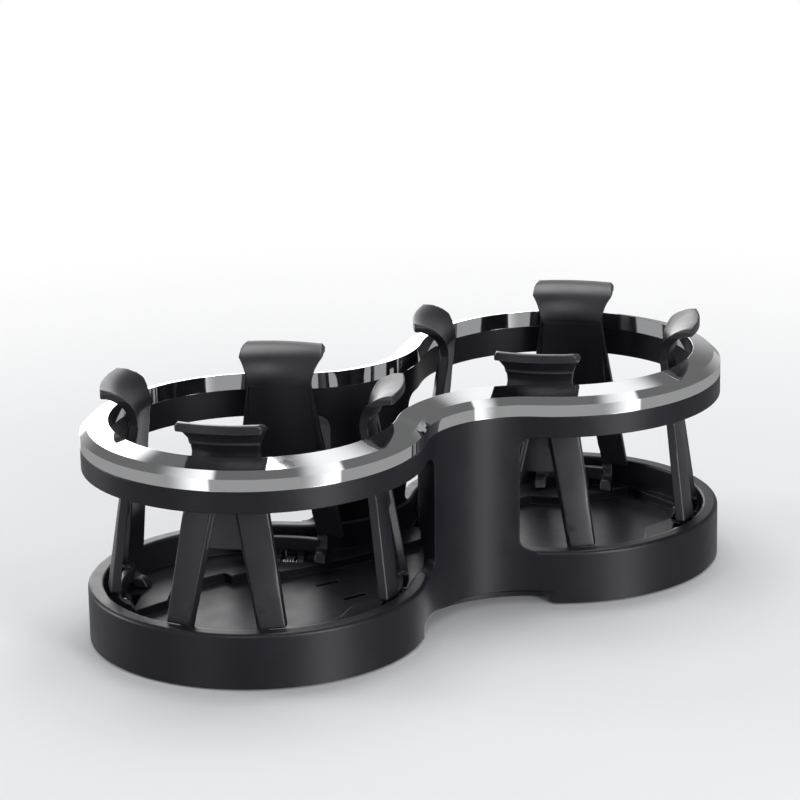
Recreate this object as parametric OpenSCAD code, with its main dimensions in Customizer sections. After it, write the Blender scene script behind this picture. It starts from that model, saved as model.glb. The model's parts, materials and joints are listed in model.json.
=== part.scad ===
// Drop-in cup holder with two open cups joined at a waist.
// Each cup is gripped by four sprung fingers that swing out on hinge pins.
// Millimetres, +Z up, +X along the length, cup centres on the X axis,
// origin under the middle of the waist on the surface it stands on.

/* [Plan Shape] */
// Half the distance between the two cup centres
half_pitch = 61.0009; // [61.0009, 60.9432, 61.1402]
// Outer radius of the upper ring round each cup
ring_r = 55; // [52:0.5:58]

/* [Base] */
// How far the base stands inside the ring
base_inset = 0.5; // [0.4:0.1:1]
// Height of the underside of the base wall above the surface
base_gap = 0.6; // [0.5:0.1:0.7]
// Height of the rim above the ledge
rim_h = 9.5; // [9:0.1:10.5]
// Width of the base rim
rim_w = 5.1; // [4.8:0.1:5.3]
// Rounding of the outer edge of the rim
rim_round = 1.2; // [0.8:0.1:1.6]
// Rounding of the inner edge of the rim
rim_in_round = 0.8; // [0.5:0.1:1]
// Depth of the recess in the floor
recess_h = 2.9; // [2.5:0.1:3.1]
// Thickness of the recessed floor
floor_t = 2.5; // [2.2:0.1:2.8]
// Distance of the two floor slots from the cup centre, towards the waist
slot_x = 32; // [28:0.5:34]
// Distance of the floor slots from the long axis
slot_y = 8; // [6:0.5:10]
// Length of the floor slots
slot_len = 9; // [6:0.5:11]
// Width of the floor slots
slot_w = 1.8; // [1.2:0.1:2.4]
// Depth of the floor slots
slot_deep = 1; // [0.6:0.1:1.2]
// Thickness of the wall that hides the bottom cover
skirt_t = 2.5; // [2.2:0.1:3]
// Height of the notch in the middle of each long side
notch_h = 4.8; // [4:0.1:5.5]
// Half length of that notch
notch_half = 26.4; // [22:0.2:27]

/* [Upper Ring] */
// Height of the underside of the ring
band_bottom_z = 57.4; // [50:0.5:64]
// Height of the ring's outer wall
band_h = 6.9; // [6.4:0.1:7.6]
// Extra height of the ring's inner wall
band_in_rise = 2.5; // [2.2:0.1:2.8]
// Width of the ring
band_w = 8.4; // [8.2:0.1:8.6]
// Wall thickness of the ring channel
band_t = 2.4; // [2:0.1:2.6]

/* [Pillars] */
// Reach of a pillar from the middle of the waist towards -X
pillar_left = 15; // [14:0.1:17]
// Reach of a pillar from the middle of the waist towards +X
pillar_right = 17.9; // [16:0.1:18]
// Rounding where a pillar meets the ring and the rim
pillar_fillet = 4.5; // [3:0.1:5]
// Wall thickness of the hollow pillars
pillar_t = 2.6; // [2.2:0.1:2.8]
// Height to which the inner face of a pillar is hollowed for the finger legs
pillar_waist_z = 34; // [30:0.5:38]

/* [Trim Ring] */
// How far the trim stands inside the ring
trim_lip = 0.8; // [0.6:0.1:0.9]
// Height of the upright outer face of the trim
trim_face_h = 3.9; // [3.4:0.1:4.4]
// Width of the chamfer of the trim
trim_chamfer_w = 2.3; // [2:0.1:2.6]
// Height of the chamfer of the trim
trim_chamfer_h = 2.2; // [1.8:0.1:2.6]
// Rise of the top face from the chamfer to the inner edge
trim_rise = 1.9; // [1.6:0.1:2.2]
// Thickness of the trim
trim_t = 1.7; // [1.5:0.1:1.8]
// Gap between a locating tab and the ring channel
tab_gap = 0.25; // [0.2:0.05:0.4]
// Half width of a locating tab
tab_half = 4; // [3:0.5:6]
// How far a tab reaches into the ring channel
tab_depth = 3; // [2.5:0.1:3.5]
// Height of a locating tab
tab_h = 8.5; // [8:0.1:8.8]

/* [Fingers] */
// How far the fingers are turned from the diagonals towards the long axis
finger_turn = 1.8; // [0:0.2:2.4]
// Gap between a leg's foot and the rim
leg_gap = 1.3; // [1.2:0.1:1.6]
// How far the legs reach down inside the rim
leg_drop = 0.7; // [0.4:0.1:1]
// Gap between the neck and the trim
neck_gap = 6.5; // [6.2:0.1:6.8]
// Depth of the neck below the top of the trim
neck_drop = 1; // [0.8:0.1:1.2]
// Thickness of the finger plate
finger_t = 2.6; // [2.4:0.1:2.8]
// Half width over both legs at the lower end
leg_half = 18.9; // [18:0.1:19]
// Half width of the neck
neck_half = 10.6; // [10:0.1:11]
// Half width of the slot between the legs at the lower end
slot_half = 11.3; // [10.8:0.1:11.6]
// Distance from the neck down to the point of the slot
slot_tip_drop = 1.7; // [1.6:0.1:3]
// Draft angle of the slot sides
slot_draft = 32; // [20:1:36]
// Height of the web's lower edge above the legs' lower end
web_rise = 24; // [22:0.5:26]
// Depth of the web behind the legs
web_recess = 1.6; // [1.2:0.1:1.8]
// Radius of the bend under the head
head_bend_r = 9; // [8.8:0.1:9.2]
// Height of the small rib above the neck
rib_rise = 3.2; // [2.6:0.1:3.8]
// Radius of that rib
rib_r = 0.6; // [0.4:0.1:0.8]
// Half width of the head
head_half = 13.6; // [13.2:0.1:15]
// Rounding of the corners of the head
head_round = 1.6; // [1:0.1:2.5]
// How far the lip reaches over the trim
lip_over = 2.2; // [1.8:0.1:2.3]
// Height of the end face of the lip
lip_h = 2.9; // [2.6:0.1:3.6]
// Height of the cross bar above the ledge
bar_rise = 2.7; // [2.4:0.1:3.2]
// Height of the cross bar itself
bar_h = 4.5; // [3.5:0.1:5.2]
// How far the cross bar stands behind the legs
bar_back = 1.8; // [1.7:0.1:2.2]
// Thickness of the cross bar
bar_t = 2.4; // [2:0.1:2.8]
// Outer radius of the curved feet
foot_bend_r = 6.3; // [6:0.1:6.4]
// Thickness of the curved feet
foot_t = 3.4; // [3:0.1:3.6]
// Inner edge of a foot, from the middle of the finger
foot_in = 9.6; // [9:0.1:10]
// Outer edge of a foot, from the middle of the finger
foot_out = 13.4; // [12.6:0.1:13.8]
// Length of a foot, from the leg's outer face to the toe
foot_len = 8.5; // [8:0.1:8.9]
// Gap between the feet and the ledge
foot_gap = 0.3; // [0.2:0.05:0.4]

/* [Hinges] */
// Distance of the hinge axis behind the legs' outer face
hinge_back = 3.1; // [2.9:0.1:3.3]
// Height of the hinge axis above the seat of the cover
hinge_rise = 4.1; // [4:0.1:4.2]
// Radius of the hinge pins
pin_r = 1; // [0.9:0.05:1.1]
// Length of the hinge pins
pin_len = 17; // [16.5:0.1:17]
// Running clearance of the finger lugs on the pin
pin_play = 0.05; // [0.03:0.01:0.08]
// Clearance of the pin in its seats
seat_play = 0.02; // [0.01:0.01:0.04]
// Radius of the finger lugs
lug_r = 2.8; // [2.7:0.05:2.8]
// Inner face of a lug, from the middle of the finger
lug_in = 2.7; // [2.6:0.1:2.8]
// Thickness of a lug
lug_t = 2.5; // [2.3:0.1:2.6]
// Thickness of the stem that carries a lug
stem_t = 1.6; // [1.4:0.1:1.8]
// Gap between a lug and the side of the hinge pocket
pocket_gap = 0.4; // [0.4:0.1:0.6]
// Reach of the hinge pocket from the axis towards the cup centre
pocket_back = 5.5; // [5.3:0.1:5.7]
// Reach of the hinge pocket from the axis towards the rim
pocket_front = 3.6; // [3.4:0.1:3.7]
// Wire radius of the torsion springs
wire_r = 0.45; // [0.4:0.01:0.46]
// Mean radius of the spring coils
coil_r = 2; // [1.95:0.01:2.02]
// Turns in a spring
coil_turns = 5; // [4:1:5]

/* [Bottom Cover] */
// Height of the underside of the cover, the thickness of the pads
cover_z = 0.8; // [0.7:0.1:0.9]
// Thickness of the cover
cover_t = 1.6; // [1.5:0.1:1.7]
// Space between the cover and the floor above it
cover_space = 1; // [0.8:0.1:1.2]
// Gap round the cover
cover_gap = 0.3; // [0.2:0.05:0.4]
// Width of the seat round the cover
cover_seat_w = 2; // [1.6:0.1:2.2]
// Radius of the screw shanks
screw_r = 1.2; // [1.1:0.05:1.3]
// Radius of the screw heads
screw_head_r = 2.6; // [2.4:0.1:2.8]
// Height of the screw heads
screw_head_h = 1.4; // [1.2:0.1:1.5]
// Length of the screws
screw_len = 6.6; // [6.2:0.1:6.8]
// Screw position along X from the cup centre
screw_x = 17; // [16:0.5:19]
// Distance of the screws inside the rim, along Y
screw_in = 6.4; // [5.6:0.2:7]
// Clearance round the screws in the cover
screw_gap = 0.1; // [0.05:0.05:0.2]
// Radius of the rubber pads
pad_r = 20; // [16:0.5:24]

/* [Part to Show] */
// Which node is drawn

/* [Hidden] */
$fn = 96;
e = 0.01;
bend = round(half_pitch * sqrt(2) * 10000) / 10000;
base_r = ring_r - base_inset;
rim_in_r = base_r - rim_w;
band_in_r = ring_r - band_w;
trim_in_r = band_in_r - trim_lip;
trim_edge_r = ring_r - trim_chamfer_w;
cover_seat_z = cover_z + cover_t;
floor_under_z = cover_seat_z + cover_space;
floor_z = floor_under_z + floor_t;
ledge_z = floor_z + recess_h;
rim_z = ledge_z + rim_h;
band_top_z = band_bottom_z + band_h;
band_in_top_z = band_top_z + band_in_rise;
trim_low_z = band_top_z + trim_face_h;
trim_edge_z = trim_low_z + trim_chamfer_h;
trim_top_z = trim_edge_z + trim_rise;
leg_low_r = rim_in_r - leg_gap;
leg_low_z = rim_z - leg_drop;
neck_r = trim_in_r - neck_gap;
neck_z = trim_top_z - neck_drop;
slot_tip_z = neck_z - slot_tip_drop;
web_z = leg_low_z + web_rise;
lip_r = trim_in_r + lip_over;
bar_low_z = ledge_z + bar_rise;
bar_top_z = bar_low_z + bar_h;
bar_r = leg_low_r - bar_back;
toe_r = leg_low_r - foot_len;
hinge_r = leg_low_r - hinge_back;
hinge_z = cover_seat_z + hinge_rise;
lug_out = lug_in + lug_t;
pocket_half = lug_out + pocket_gap;
pocket_in = hinge_r - pocket_back;
pocket_out = hinge_r + pocket_front;
screw_tip_z = cover_z + screw_len;
screw_y = rim_in_r - screw_in;
recess_x = [rim_in_r - 3.4, rim_in_r * 0.445, rim_in_r * 0.26, rim_in_r * 0.142];
recess_y = [rim_in_r * 0.354, rim_in_r * 0.415, rim_in_r * 0.545, rim_in_r * 0.63];
trough_half = half_pitch - recess_x[0] + 5;
pillar_foot_r = rim_in_r + 1;
pillar_slope = (pillar_foot_r - band_in_r) / (pillar_waist_z - rim_z + 2);
core_low_z = rim_z + 5.7;
lean = (leg_low_r - neck_r) / (neck_z - leg_low_z);
lean_a = atan(lean);
slot_slope = slot_half / (slot_tip_z - leg_low_z);
head_r = head_bend_r + finger_t;
head_c = neck_r + head_bend_r;
top_z = neck_z + head_r;
flare_h = 8.6;
flare_w = head_half - neck_half;
flare_r = (flare_h * flare_h + flare_w * flare_w) / (2 * flare_w);
foot_c = leg_low_r + 0.2 - foot_bend_r;
foot_z = ledge_z + foot_gap + foot_bend_r;
rib_z = neck_z + rib_rise;
rib_c = head_c - sqrt(head_bend_r * head_bend_r - rib_rise * rib_rise);
sides = [-1, 1];
black = [0.16, 0.16, 0.18];
bright = [0.85, 0.86, 0.88];
steel = [0.6, 0.61, 0.63];
soft = [0.09, 0.09, 0.09];

// The block between the cups that the two waist curves are cut from.
module waist_block(z0, z1) {
    translate([0, 0, z0]) linear_extrude(height = z1 - z0)
        polygon([[-half_pitch, 0], [0, -half_pitch], [half_pitch, 0], [0, half_pitch]]);
}

// A solid with the plan outline of the holder: the child profile gives its
// radius at each height, round both cups and, kept parallel, round the waist.
module form(z0, z1) {
    difference() {
        union() {
            for (g = sides)
                translate([g * half_pitch, 0, 0]) rotate_extrude($fn = 160) children();
            waist_block(z0, z1);
        }
        for (g = sides)
            translate([0, g * half_pitch, 0]) rotate_extrude($fn = 160) difference() {
                translate([0, z0 - 1]) square([bend - 20, z1 - z0 + 2]);
                translate([bend, 0]) mirror([1, 0]) children();
            }
    }
}

// The same with an upright wall.
module slab(r, z0, z1) {
    form(z0, z1) translate([0, z0]) square([r, z1 - z0]);
}

// Places a finger part: cup side and direction from the cup centre.
module at_finger(g, a) {
    turned = a % 180 == 45 ? a - finger_turn : a + finger_turn;
    translate([g * half_pitch, 0, 0]) rotate([0, 0, turned]) children();
}

module every_finger() {
    for (g = sides)
        for (a = [45, 135, 225, 315])
            at_finger(g, a) children();
}

// Outline of the recessed floor of a cup, with a step towards the waist.
module recess(g) {
    half = [
        [-recess_x[0], recess_y[0]], [-recess_x[1], recess_y[1]], [-recess_x[2], recess_y[3]],
        [recess_x[3], recess_y[3]], [recess_x[3], recess_y[2]], [recess_x[2], recess_y[2]],
        [recess_x[1], recess_y[1]], [recess_x[0], recess_y[0]]
    ];
    mirror([g > 0 ? 1 : 0, 0]) polygon([
        for (p = half) p,
        for (i = [len(half) - 1 : -1 : 0]) [half[i][0], -half[i][1]]
    ]);
}

// Base tray with its rounded rim.
module tray_profile() {
    polygon([
        [0, base_gap], [base_r, base_gap], [base_r, rim_z - rim_round],
        for (a = [15 : 15 : 75]) [base_r - rim_round + rim_round * cos(a), rim_z - rim_round + rim_round * sin(a)],
        [base_r - rim_round, rim_z], [0, rim_z]
    ]);
}

module tray_space() {
    polygon([
        [0, ledge_z], [rim_in_r, ledge_z], [rim_in_r, rim_z - rim_in_round],
        for (a = [30 : 30 : 60]) [rim_in_r + rim_in_round - rim_in_round * cos(a), rim_z - rim_in_round + rim_in_round * sin(a)],
        [rim_in_r + rim_in_round, rim_z], [rim_in_r + rim_in_round, rim_z + 1], [0, rim_z + 1]
    ]);
}

module base_tray() {
    difference() {
        form(base_gap, rim_z) tray_profile();
        form(ledge_z, rim_z + 1) tray_space();
        slab(base_r - skirt_t, base_gap - 1, cover_seat_z);
        slab(base_r - skirt_t - cover_seat_w, base_gap - 1, floor_under_z);
        for (g = sides)
            translate([g * half_pitch, 0, 0]) {
                translate([0, 0, floor_z]) linear_extrude(height = rim_h) recess(g);
                for (m = sides)
                    translate([-g * slot_x, m * slot_y, floor_z - slot_deep])
                        translate([-slot_len / 2, -slot_w / 2, 0]) cube([slot_len, slot_w, rim_h]);
            }
        translate([-trough_half, -recess_y[0], floor_z]) cube([2 * trough_half, 2 * recess_y[0], rim_h]);
    }
}

// Pillar wall over a range of heights, before its ends are cut.
module pillar_wall(z0, z1) {
    difference() {
        form(z0, z1)
            polygon([[0, z0], [base_r, z0], [base_r, rim_z], [ring_r, band_bottom_z], [ring_r, z1], [0, z1]]);
        form(z0 - 1, z1 + 1) polygon([
            [0, z0 - 1], [pillar_foot_r + pillar_slope, z0 - 1], [band_in_r, pillar_waist_z],
            [band_in_r, z1 + 1], [0, z1 + 1]
        ]);
    }
}

// Side window beside a pillar, with rounded corners, seen from the front.
module window_shape(half) {
    reach = half + pillar_fillet;
    low = rim_z + pillar_fillet;
    high = band_bottom_z - pillar_fillet;
    polygon([
        [reach + 5, rim_z],
        for (a = [270 : -10 : 180]) [reach + pillar_fillet * cos(a), low + pillar_fillet * sin(a)],
        for (a = [180 : -10 : 90]) [reach + pillar_fillet * cos(a), high + pillar_fillet * sin(a)],
        [reach + 5, band_bottom_z]
    ]);
}

module pillars() {
    difference() {
        intersection() {
            pillar_wall(rim_z - 2, band_bottom_z + 1);
            translate([-pillar_left - pillar_fillet, -half_pitch, 0])
                cube([pillar_left + pillar_right + 2 * pillar_fillet, 2 * half_pitch, band_top_z]);
        }
        rotate([90, 0, 0]) linear_extrude(height = 2 * half_pitch, center = true) {
            window_shape(pillar_right);
            mirror([1, 0]) window_shape(pillar_left);
        }
    }
}

// Hollow of the pillars, open to the channel of the ring.
module pillar_core() {
    top = band_bottom_z + band_t + 1;
    in_r = band_in_r + pillar_t;
    intersection() {
        difference() {
            slab(base_r - pillar_t, core_low_z, top);
            form(core_low_z - 1, top + 1) polygon([
                [0, core_low_z - 1], [in_r + pillar_slope * (pillar_waist_z - core_low_z + 1), core_low_z - 1],
                [in_r, pillar_waist_z], [in_r, top + 1], [0, top + 1]
            ]);
        }
        translate([-pillar_left + pillar_t, -half_pitch, 0])
            cube([pillar_left + pillar_right - 2 * pillar_t, 2 * half_pitch, top + 2]);
    }
}

// Space of the notch under the middle of each long side.
module notch_space(grow, h) {
    difference() {
        translate([-notch_half - grow, -half_pitch, -1]) cube([2 * (notch_half + grow), 2 * half_pitch, h + 1]);
        slab(rim_in_r - grow, -2, h + 1);
    }
}

// Upper ring: a channel, open at the top, that the trim closes.
module band() {
    floor_z = band_bottom_z + band_t;
    difference() {
        slab(ring_r, band_bottom_z, band_in_top_z);
        slab(band_in_r, band_bottom_z - 1, band_in_top_z + 1);
        difference() {
            form(floor_z, band_in_top_z + 1) polygon([
                [0, floor_z], [ring_r - band_t, floor_z], [ring_r - band_t, band_top_z],
                [ring_r + 2, band_top_z], [ring_r + 2, band_in_top_z + 1], [0, band_in_top_z + 1]
            ]);
            slab(band_in_r + band_t, floor_z - 1, band_in_top_z + 2);
        }
    }
}

// Pocket, pin seats and notches for one hinge.
module hinge_pocket() {
    translate([pocket_in, -pocket_half, -1])
        cube([pocket_out - pocket_in, 2 * pocket_half, rim_z]);
    translate([hinge_r, 0, hinge_z]) rotate([90, 0, 0])
        cylinder(r = pin_r + seat_play, h = pin_len + 0.4, center = true, $fn = 32);
    translate([hinge_r - pin_r - seat_play, -pin_len / 2 - 0.2, cover_seat_z - 1])
        cube([2 * (pin_r + seat_play), pin_len + 0.4, hinge_z - cover_seat_z + 1]);
}

module screw_places() {
    for (g = sides)
        for (x = sides)
            for (y = sides)
                translate([g * half_pitch + x * screw_x, y * screw_y, 0]) children();
}

module body_shell() {
    color(black) difference() {
        union() {
            base_tray();
            pillars();
            band();
        }
        pillar_core();
        every_finger() hinge_pocket();
        screw_places() translate([0, 0, cover_seat_z - 1])
            cylinder(r = screw_r, h = screw_tip_z - cover_seat_z + 1.2, $fn = 32);
        notch_space(0, notch_h);
    }
}

module trim_space() {
    slope = trim_rise / (trim_edge_r - trim_in_r);
    top = trim_edge_z - trim_t + slope * (trim_edge_r - 0.6 - trim_in_r - trim_t + 1);
    difference() {
        form(band_top_z - 1, top) polygon([
            [0, band_top_z - 1], [ring_r - trim_t, band_top_z - 1], [ring_r - trim_t, trim_low_z - 0.8],
            [trim_edge_r - 0.6, trim_edge_z - trim_t], [trim_in_r + trim_t - 1, top], [0, top]
        ]);
        slab(trim_in_r + trim_t, band_top_z - 2, top + 1);
    }
}

module trim_ring() {
    tab_in = band_in_r + band_t + tab_gap;
    tab_w = ring_r - band_t - tab_gap - 0.2 - tab_in;
    peak_z = trim_top_z + 2 * trim_rise / (trim_edge_r - trim_in_r);
    color(bright) {
        difference() {
            form(band_top_z, trim_top_z) polygon([
                [0, band_top_z], [ring_r, band_top_z], [ring_r, trim_low_z],
                [trim_edge_r, trim_edge_z], [trim_in_r - 2, peak_z], [0, peak_z]
            ]);
            slab(trim_in_r, band_top_z - 1, trim_top_z + 2);
            slab(trim_in_r + trim_t + 0.5, band_top_z - 2, band_in_top_z);
            trim_space();
        }
        for (g = sides)
            for (a = [-90, -30, 30, 90])
                translate([g * half_pitch, 0, 0]) rotate([0, 0, (g > 0 ? 0 : 180) + a])
                    translate([tab_in, -tab_half, band_top_z - tab_depth]) cube([tab_w, 2 * tab_half, tab_h]);
    }
}

module bottom_cover() {
    color(black) difference() {
        slab(base_r - skirt_t - cover_gap, cover_z, cover_seat_z);
        notch_space(1, cover_seat_z + 1);
        screw_places() translate([0, 0, cover_z - e]) {
            cylinder(r1 = screw_head_r + screw_gap, r2 = screw_r + screw_gap, h = screw_head_h, $fn = 32);
            cylinder(r = screw_r + screw_gap, h = cover_t + 1, $fn = 32);
        }
    }
}

module cover_screws() {
    color(steel) screw_places() {
        translate([0, 0, cover_z]) cylinder(r1 = screw_head_r, r2 = screw_r, h = screw_head_h, $fn = 32);
        translate([0, 0, cover_z]) cylinder(r = screw_r, h = screw_tip_z - cover_z, $fn = 32);
    }
}

module pad(g) {
    color(soft) translate([g * half_pitch, 0, 0]) cylinder(r = pad_r, h = cover_z);
}

// Finger cross section: plate, bent head with its lip, and the curved foot.
module finger_profile() {
    polygon([
        [leg_low_r + 0.1, leg_low_z - 0.6], [neck_r, neck_z], [neck_r - finger_t, neck_z],
        [leg_low_r - finger_t - 0.1, leg_low_z - 0.6],
        [foot_c + foot_bend_r - foot_t, foot_z], [foot_c + foot_bend_r, foot_z]
    ]);
    translate([head_c, neck_z]) intersection() {
        difference() {
            circle(r = head_r);
            circle(r = head_bend_r);
        }
        translate([-head_r - 1, -e]) square([head_r + 1 - (head_c - lip_r), head_r + 1]);
    }
    translate([lip_r - 1.6, top_z - lip_h]) square([1.6, lip_h - 0.2]);
    translate([rib_c, rib_z]) circle(r = rib_r, $fn = 24);
    translate([foot_c, foot_z]) intersection() {
        difference() {
            circle(r = foot_bend_r);
            circle(r = foot_bend_r - foot_t);
        }
        translate([0, -foot_bend_r - 1]) square(foot_bend_r + 1);
    }
    polygon([
        [foot_c, foot_z - foot_bend_r + foot_t], [foot_c - 1, foot_z - foot_bend_r + foot_t - 0.5],
        [toe_r + 0.4, ledge_z + foot_gap + 1.3], [toe_r, ledge_z + foot_gap], [foot_c, ledge_z + foot_gap]
    ]);
}

// Outline of the finger seen from the cup centre.
module finger_shape() {
    for (g = sides)
        translate([g > 0 ? foot_in : -foot_out, ledge_z]) square([foot_out - foot_in, leg_low_z - ledge_z + 1]);
    polygon([
        [-leg_half, leg_low_z], [leg_half, leg_low_z], [neck_half, neck_z - 0.4],
        [neck_half, neck_z + 0.1], [-neck_half, neck_z + 0.1], [-neck_half, neck_z - 0.4]
    ]);
    difference() {
        union() {
            translate([-head_half, neck_z - 0.4]) square([2 * head_half, top_z - neck_z + 0.4 - head_round]);
            translate([-head_half + head_round, neck_z]) square([2 * (head_half - head_round), top_z - neck_z + 1]);
            for (g = sides)
                translate([g * (head_half - head_round), top_z - head_round]) circle(r = head_round);
        }
        for (g = sides)
            translate([g * (neck_half + flare_r), neck_z - 0.4]) circle(r = flare_r);
        for (g = sides)
            translate([g * (neck_half + flare_r) - flare_r, neck_z - flare_r - 0.4]) square([2 * flare_r, flare_r]);
    }
}

module facing_prism(r0, r1) {
    translate([r0, 0, 0]) rotate([90, 0, 90]) linear_extrude(height = r1 - r0) children();
}

module shell_turn() {
    rotate([0, 0, -30]) rotate_extrude(angle = 60, $fn = 160) children();
}

// Half space on the slot side of one leg.
module slot_side(g) {
    mirror([0, g > 0 ? 0 : 1, 0])
        translate([leg_low_r - 1.3, slot_half, leg_low_z])
            rotate([atan(slot_slope), -lean_a, 0]) rotate([0, 0, slot_draft])
                translate([-30, -60, -20]) cube([60, 60, 90]);
}

module legs_and_head() {
    difference() {
        intersection() {
            shell_turn() finger_profile();
            facing_prism(neck_r / 2, ring_r + 5) finger_shape();
        }
        intersection() {
            slot_side(-1);
            slot_side(1);
            translate([neck_r / 2, -leg_half, leg_low_z - 1]) cube([ring_r, 2 * leg_half, neck_z - leg_low_z]);
        }
    }
}

module web() {
    intersection() {
        shell_turn() polygon([
            [leg_low_r - web_recess - lean * (web_z - leg_low_z), web_z],
            [neck_r - web_recess, neck_z], [neck_r - finger_t, neck_z],
            [leg_low_r - web_recess - 2 - lean * (web_z - leg_low_z), web_z]
        ]);
        facing_prism(neck_r / 2, ring_r + 5)
            polygon([[-12, web_z], [12, web_z], [neck_half - 0.6, neck_z - 1], [-neck_half + 0.6, neck_z - 1]]);
    }
}

module cross_bar() {
    intersection() {
        shell_turn() translate([bar_r - bar_t, bar_low_z]) square([bar_t, bar_top_z - bar_low_z]);
        translate([bar_r / 2, -foot_in - 1, 0]) cube([bar_r, 2 * foot_in + 2, leg_low_z + 5]);
    }
}

module lugs() {
    difference() {
        for (g = sides)
            translate([0, g > 0 ? lug_in : -lug_out, 0]) {
                translate([hinge_r, 0, hinge_z]) rotate([-90, 0, 0])
                    cylinder(r = lug_r, h = lug_out - lug_in, $fn = 48);
                translate([hinge_r - 1, 0, hinge_z]) cube([stem_t, lug_out - lug_in, bar_low_z - hinge_z + 2]);
            }
        translate([hinge_r, 0, hinge_z]) rotate([90, 0, 0])
            cylinder(r = pin_r + pin_play, h = 30, center = true, $fn = 32);
    }
}

module finger(g, a) {
    color(black) at_finger(g, a) {
        legs_and_head();
        web();
        cross_bar();
        lugs();
    }
}

module pin(g, a) {
    color(steel) at_finger(g, a) translate([hinge_r, 0, hinge_z]) rotate([90, 0, 0]) {
        cylinder(r = pin_r, h = pin_len - 0.6, center = true, $fn = 32);
        for (m = sides)
            mirror([0, 0, m > 0 ? 0 : 1])
                translate([0, 0, pin_len / 2 - 0.3 - e])
                    cylinder(r1 = pin_r, r2 = pin_r - 0.3, h = 0.3 + e, $fn = 32);
    }
}

module spring(g, a) {
    pitch = 2 * wire_r + 0.06;
    last = (coil_turns - 1) * pitch / 2;
    color(steel) at_finger(g, a) translate([hinge_r, 0, hinge_z]) {
        for (i = [0 : coil_turns - 1])
            translate([0, -last + i * pitch, 0]) rotate([90, 0, 0])
                rotate_extrude($fn = 40) translate([coil_r, 0]) circle(r = wire_r, $fn = 16);
        translate([-coil_r, -last, 0]) rotate([-90, 0, 0])
            cylinder(r = wire_r * 0.6, h = 2 * last, $fn = 16);
        translate([coil_r, last, 0]) cylinder(r = wire_r * 0.97, h = bar_top_z - hinge_z - 1.5, $fn = 16);
        translate([0, -last, -coil_r]) rotate([0, -90, 0])
            cylinder(r = wire_r * 0.97, h = hinge_r - pocket_in - 0.3, $fn = 16);
    }
}

body_shell();
trim_ring();
bottom_cover();
cover_screws();
pad(-1);  // left_pad
pad(1);  // right_pad
finger(-1, 45);  // left_finger_br
finger(-1, 135);  // left_finger_bl
finger(-1, 225);  // left_finger_fl
finger(-1, 315);  // left_finger_fr
finger(1, 45);  // right_finger_br
finger(1, 135);  // right_finger_bl
finger(1, 225);  // right_finger_fl
finger(1, 315);  // right_finger_fr
pin(-1, 45);  // left_pin_br
pin(-1, 135);  // left_pin_bl
pin(-1, 225);  // left_pin_fl
pin(-1, 315);  // left_pin_fr
pin(1, 45);  // right_pin_br
pin(1, 135);  // right_pin_bl
pin(1, 225);  // right_pin_fl
pin(1, 315);  // right_pin_fr
spring(-1, 45);  // left_spring_br
spring(-1, 135);  // left_spring_bl
spring(-1, 225);  // left_spring_fl
spring(-1, 315);  // left_spring_fr
spring(1, 45);  // right_spring_br
spring(1, 135);  // right_spring_bl
spring(1, 225);  // right_spring_fl
spring(1, 315);  // right_spring_fr
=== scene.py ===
"""Visual model of a drop-in car cup holder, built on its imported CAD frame.

The shell, the bottom cover and the hinge pins stay CAD nodes, and their material
softens their corners. The fingers are copies of their nodes with rounded edges. The
bright trim, the springs, the screws and the pads are modelled here over their nodes.
Sizes in the classes are millimetres, unless a class says otherwise, and the scene is
in metres.
"""

import json
import logging
import math
from dataclasses import dataclass, field
from enum import Enum
from typing import Sequence

import bmesh
import bpy
from mathutils import Matrix, Vector

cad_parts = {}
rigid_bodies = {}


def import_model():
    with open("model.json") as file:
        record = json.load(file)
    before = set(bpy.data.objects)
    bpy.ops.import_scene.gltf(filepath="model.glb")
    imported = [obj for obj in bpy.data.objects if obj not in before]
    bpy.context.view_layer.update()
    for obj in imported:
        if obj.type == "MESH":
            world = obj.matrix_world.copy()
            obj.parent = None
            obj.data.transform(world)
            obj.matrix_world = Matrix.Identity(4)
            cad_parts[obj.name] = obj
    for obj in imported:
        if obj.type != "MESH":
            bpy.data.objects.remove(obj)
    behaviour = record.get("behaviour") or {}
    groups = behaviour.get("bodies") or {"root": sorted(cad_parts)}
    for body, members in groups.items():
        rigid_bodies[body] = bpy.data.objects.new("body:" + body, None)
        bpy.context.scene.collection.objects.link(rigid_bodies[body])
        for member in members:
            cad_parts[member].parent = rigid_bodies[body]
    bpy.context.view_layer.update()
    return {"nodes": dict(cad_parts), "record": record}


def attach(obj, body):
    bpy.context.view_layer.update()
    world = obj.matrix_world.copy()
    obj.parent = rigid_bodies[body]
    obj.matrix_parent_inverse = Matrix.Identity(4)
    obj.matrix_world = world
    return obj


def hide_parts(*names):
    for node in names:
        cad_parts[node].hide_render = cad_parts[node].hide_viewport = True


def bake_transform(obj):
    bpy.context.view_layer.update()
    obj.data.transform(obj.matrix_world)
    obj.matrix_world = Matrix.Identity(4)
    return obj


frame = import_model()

LOG = logging.getLogger("cup_holder")

MM = 0.001
UP = Vector((0, 0, 1))

# Distances, in metres, below which two points of a mesh are one.
WELD_COPY = 2e-5
WELD_SWEEP = 5e-6
WELD_SPIN = 1e-6
# Edges of a CAD copy below this length, metres, and this turn, degrees, are dissolved.
SHORTEST_EDGE = 1e-5
FLAT_TURN = 0.3

Shape = bmesh.types.BMesh
Vert = bmesh.types.BMVert
Edge = bmesh.types.BMEdge
Socket = bpy.types.NodeSocket
Pair = tuple[float, float]
Point = tuple[float, float, float]


class Side(Enum):
    """The two cups, by the sign of their place on X."""

    LEFT = -1
    RIGHT = 1


class Finish(Enum):
    """The finishes, named as the material slots of the record."""

    SHELL = "shell_plastic"
    FINGER = "finger_plastic"
    CHROME = "trim_chrome"
    SCREW = "screw_steel"
    PIN = "pin_steel"
    SPRING = "spring_steel"
    PAD = "pad_rubber"


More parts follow.
